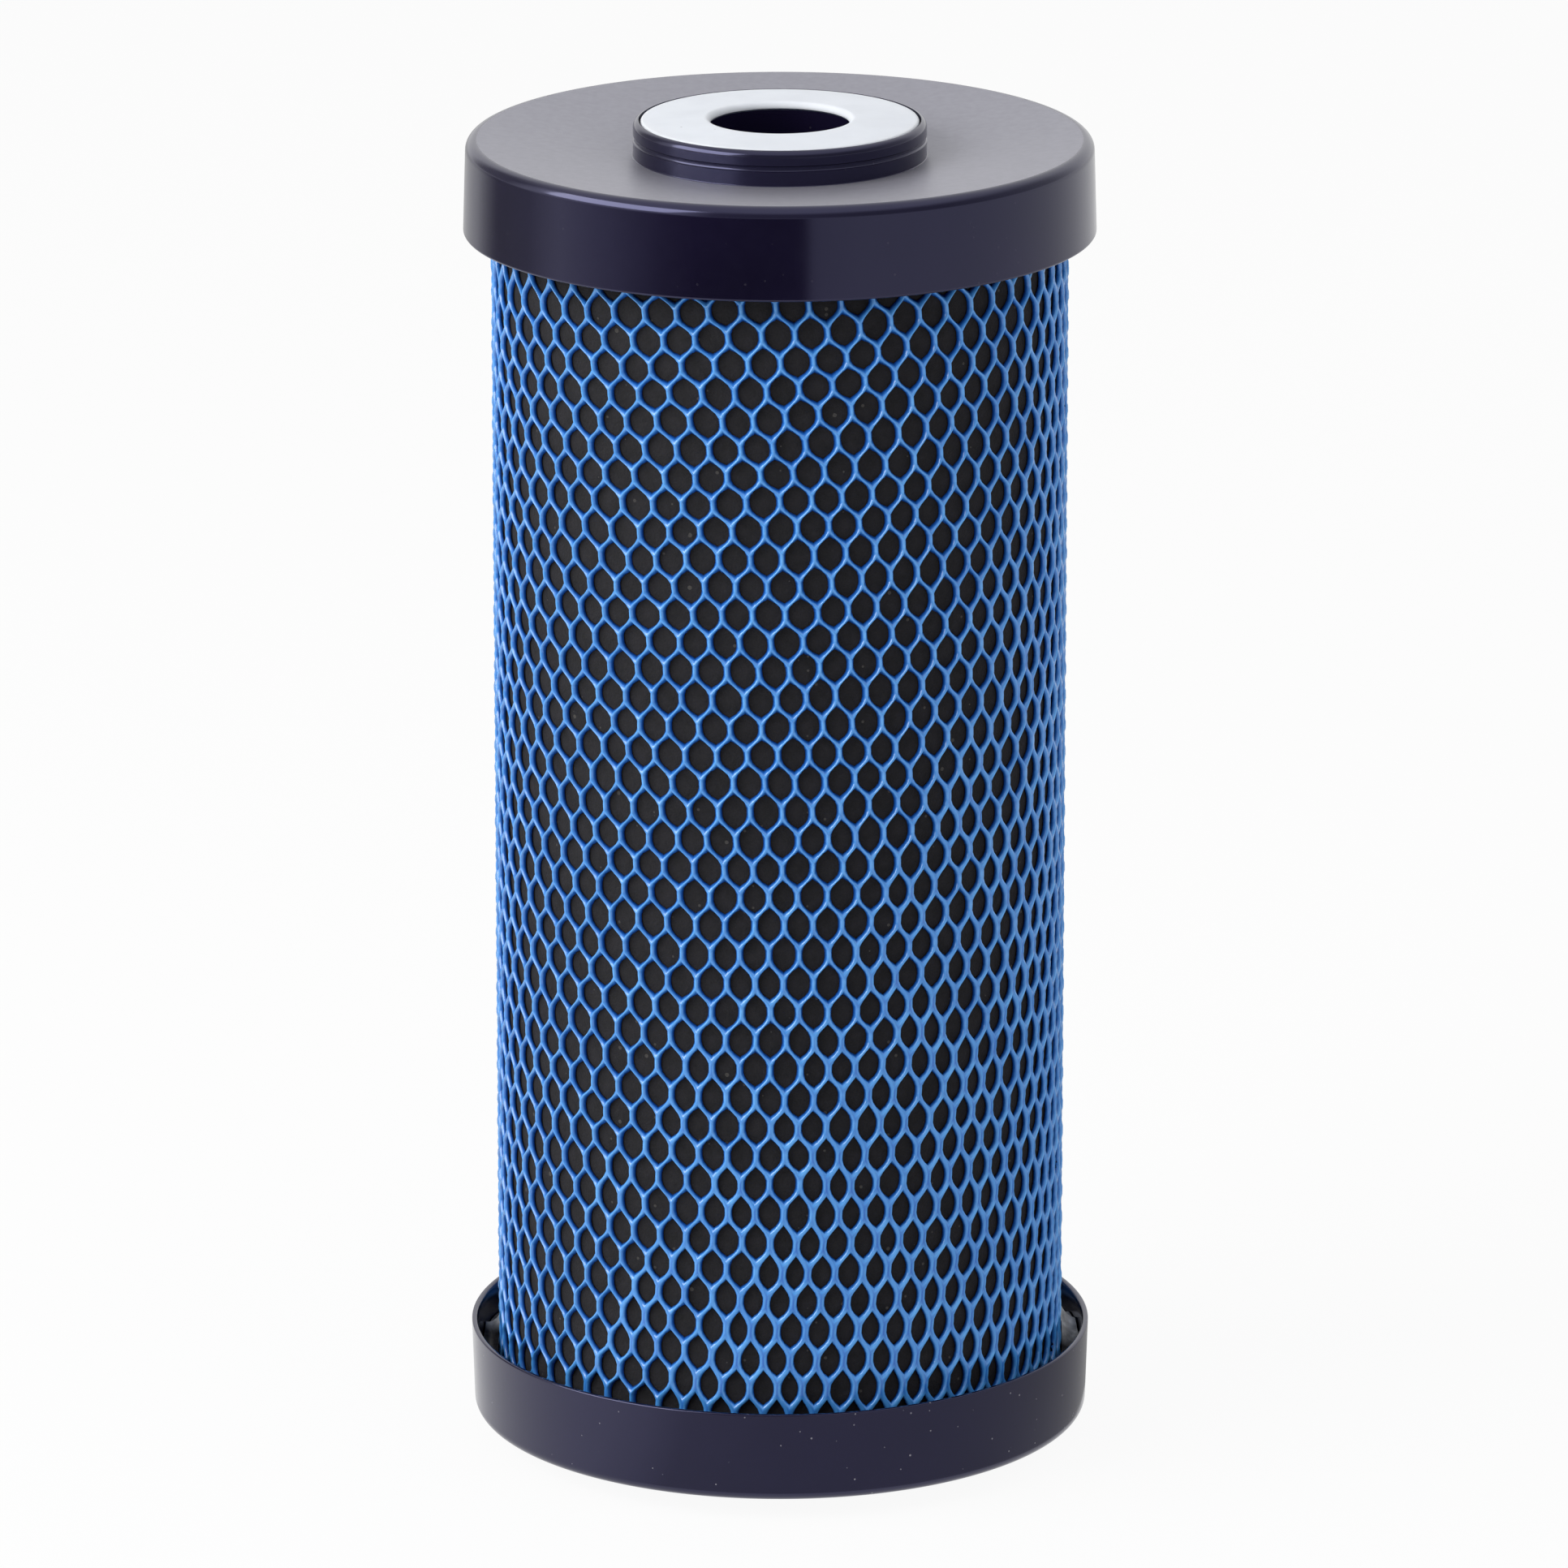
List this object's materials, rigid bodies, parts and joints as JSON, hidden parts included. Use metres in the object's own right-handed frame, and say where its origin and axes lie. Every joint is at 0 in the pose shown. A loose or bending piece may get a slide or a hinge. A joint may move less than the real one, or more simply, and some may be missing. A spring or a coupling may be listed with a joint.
{
  "type": "filter cartridge",
  "caption": "Cylindrical carbon block filter cartridge in a net sleeve, with moulded end caps and flat sealing gaskets round a through bore.",
  "frame": {"origin": "centre of the bottom gasket's lower face, on which the cartridge stands", "axes": "+Z along the bore, from the bottom gasket to the top gasket"},
  "size_m": [0.1142, 0.1142, 0.2476],
  "materials": {
    "cap_plastic": "moulded polypropylene, satin gloss",
    "gasket_rubber": "smooth white elastomer",
    "net_plastic": "extruded polyethylene, semi-gloss",
    "outer_cloth": "black non-woven",
    "inner_cloth": "white non-woven",
    "carbon": "pressed, binder-bonded carbon",
    "hot_melt": "translucent hot-melt adhesive"
  },
  "bodies": {
    "cartridge": {"top_cap": "cap_plastic", "bottom_cap": "cap_plastic", "bottom_gasket": "gasket_rubber", "netting_sleeve": "net_plastic", "outer_wrap": "outer_cloth", "inner_wrap": "inner_cloth", "carbon_block": "carbon", "top_potting": "hot_melt", "bottom_potting": "hot_melt"},
    "loose_gasket": {"top_gasket": "gasket_rubber"}
  },
  "joints": [
    {"name": "top_gasket_lift", "type": "slide", "parent": "cartridge", "child": "loose_gasket", "axis": [0, 0, 1], "range_m": [0, 0.03]}
  ]
}
